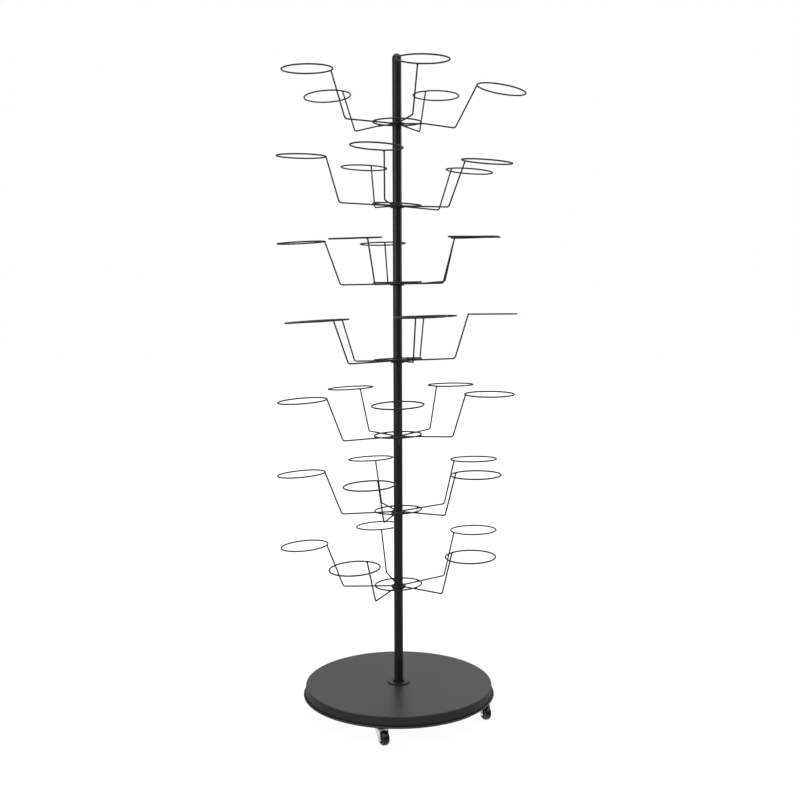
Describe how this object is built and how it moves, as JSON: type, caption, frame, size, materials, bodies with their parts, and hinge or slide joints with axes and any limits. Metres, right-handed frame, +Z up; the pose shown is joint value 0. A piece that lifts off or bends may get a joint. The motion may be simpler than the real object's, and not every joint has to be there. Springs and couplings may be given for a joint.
{
  "type": "rotating hat display stand",
  "caption": "Floor-standing wire hat stand: stacked turning tiers of upswept arms with open hat rings on a slim pole, over a round base on swivel casters.",
  "frame": {"origin": "on the floor, on the axis of the pole", "axes": "+Z up along the pole; -Y is the front and +X the right-hand side, seen from the front"},
  "size_m": [0.6569, 0.6366, 1.7446],
  "materials": {
    "base_powder_coat": "matt fine-texture powder coat, charcoal black",
    "pole_powder_coat": "semi-gloss powder coat, black",
    "wire_powder_coat": "satin powder coat, black",
    "bush_plastic": "moulded nylon, black",
    "cap_plastic": "moulded polyethylene, black",
    "wheel_plastic": "moulded polypropylene, glossy black",
    "zinc_plate": "bright zinc plate",
    "bare_steel": "plain drawn steel",
    "black_oxide": "black oxide"
  },
  "bodies": {
    "stand": {"base_cover": "base_powder_coat", "base_spacer": "base_powder_coat", "base_underplate": "base_powder_coat", "caster_balls": "bare_steel", "caster_cups": "zinc_plate", "caster_nuts": "zinc_plate", "caster_stems": "zinc_plate", "pole_bolt": "zinc_plate", "pole_bolt_washer": "zinc_plate", "pole_cap": "cap_plastic", "pole_couplers": "bare_steel", "pole_flange": "pole_powder_coat", "pole_foot_plug": "bare_steel", "pole_section_1": "pole_powder_coat", "pole_section_2": "pole_powder_coat", "pole_section_3": "pole_powder_coat", "pole_section_4": "pole_powder_coat", "tier_1_bush": "bush_plastic", "tier_2_bush": "bush_plastic", "tier_3_bush": "bush_plastic", "tier_4_bush": "bush_plastic", "tier_5_bush": "bush_plastic", "tier_6_bush": "bush_plastic", "tier_7_bush": "bush_plastic", "tier_stop_pins": "black_oxide"},
    "caster_1_swivel": {"caster_1_axle": "zinc_plate", "caster_1_fork": "zinc_plate"},
    "caster_1_roller": {"caster_1_wheel": "wheel_plastic"},
    "caster_2_swivel": {"caster_2_axle": "zinc_plate", "caster_2_fork": "zinc_plate"},
    "caster_2_roller": {"caster_2_wheel": "wheel_plastic"},
    "caster_3_swivel": {"caster_3_axle": "zinc_plate", "caster_3_fork": "zinc_plate"},
    "caster_3_roller": {"caster_3_wheel": "wheel_plastic"},
    "caster_4_swivel": {"caster_4_axle": "zinc_plate", "caster_4_fork": "zinc_plate"},
    "caster_4_roller": {"caster_4_wheel": "wheel_plastic"},
    "tier_1": {"tier_1_arms": "wire_powder_coat", "tier_1_brace_ring": "wire_powder_coat", "tier_1_hub_ring": "wire_powder_coat"},
    "tier_2": {"tier_2_arms": "wire_powder_coat", "tier_2_brace_ring": "wire_powder_coat", "tier_2_hub_ring": "wire_powder_coat"},
    "tier_3": {"tier_3_arms": "wire_powder_coat", "tier_3_brace_ring": "wire_powder_coat", "tier_3_hub_ring": "wire_powder_coat"},
    "tier_4": {"tier_4_arms": "wire_powder_coat", "tier_4_brace_ring": "wire_powder_coat", "tier_4_hub_ring": "wire_powder_coat"},
    "tier_5": {"tier_5_arms": "wire_powder_coat", "tier_5_brace_ring": "wire_powder_coat", "tier_5_hub_ring": "wire_powder_coat"},
    "tier_6": {"tier_6_arms": "wire_powder_coat", "tier_6_brace_ring": "wire_powder_coat", "tier_6_hub_ring": "wire_powder_coat"},
    "tier_7": {"tier_7_arms": "wire_powder_coat", "tier_7_brace_ring": "wire_powder_coat", "tier_7_hub_ring": "wire_powder_coat"}
  },
  "joints": [
    {"name": "tier_1_turn", "type": "hinge", "parent": "stand", "child": "tier_1", "pos_m": [0, 0, 1.5676], "axis": [0, 0, 1], "continuous": true},
    {"name": "tier_2_turn", "type": "hinge", "parent": "stand", "child": "tier_2", "pos_m": [0, 0, 1.3576], "axis": [0, 0, 1], "continuous": true},
    {"name": "tier_3_turn", "type": "hinge", "parent": "stand", "child": "tier_3", "pos_m": [0, 0, 1.1556], "axis": [0, 0, 1], "continuous": true},
    {"name": "tier_4_turn", "type": "hinge", "parent": "stand", "child": "tier_4", "pos_m": [0, 0, 0.9536], "axis": [0, 0, 1], "continuous": true},
    {"name": "tier_5_turn", "type": "hinge", "parent": "stand", "child": "tier_5", "pos_m": [0, 0, 0.7516], "axis": [0, 0, 1], "continuous": true},
    {"name": "tier_6_turn", "type": "hinge", "parent": "stand", "child": "tier_6", "pos_m": [0, 0, 0.5486], "axis": [0, 0, 1], "continuous": true},
    {"name": "tier_7_turn", "type": "hinge", "parent": "stand", "child": "tier_7", "pos_m": [0, 0, 0.3446], "axis": [0, 0, 1], "continuous": true},
    {"name": "caster_1_turn", "type": "hinge", "parent": "stand", "child": "caster_1_swivel", "pos_m": [-0.04782, -0.22497, 0.043], "axis": [0, 0, 1], "continuous": true},
    {"name": "caster_1_roll", "type": "hinge", "parent": "caster_1_swivel", "child": "caster_1_roller", "pos_m": [-0.03812, -0.24247, 0.019], "axis": [0.8746, 0.4848, 0], "continuous": true},
    {"name": "caster_2_turn", "type": "hinge", "parent": "stand", "child": "caster_2_swivel", "pos_m": [0.22216, -0.05953, 0.043], "axis": [0, 0, 1], "continuous": true},
    {"name": "caster_2_roll", "type": "hinge", "parent": "caster_2_swivel", "child": "caster_2_roller", "pos_m": [0.23093, -0.0775, 0.019], "axis": [0.8988, 0.4384, 0], "continuous": true},
    {"name": "caster_3_turn", "type": "hinge", "parent": "stand", "child": "caster_3_swivel", "pos_m": [0.04782, 0.22497, 0.043], "axis": [0, 0, 1], "continuous": true},
    {"name": "caster_3_roll", "type": "hinge", "parent": "caster_3_swivel", "child": "caster_3_roller", "pos_m": [0.05595, 0.2067, 0.019], "axis": [0.9135, 0.4067, 0], "continuous": true},
    {"name": "caster_4_turn", "type": "hinge", "parent": "stand", "child": "caster_4_swivel", "pos_m": [-0.22497, 0.04782, 0.043], "axis": [0, 0, 1], "continuous": true},
    {"name": "caster_4_roll", "type": "hinge", "parent": "caster_4_swivel", "child": "caster_4_roller", "pos_m": [-0.21748, 0.02928, 0.019], "axis": [0.9272, 0.3746, 0], "continuous": true}
  ]
}
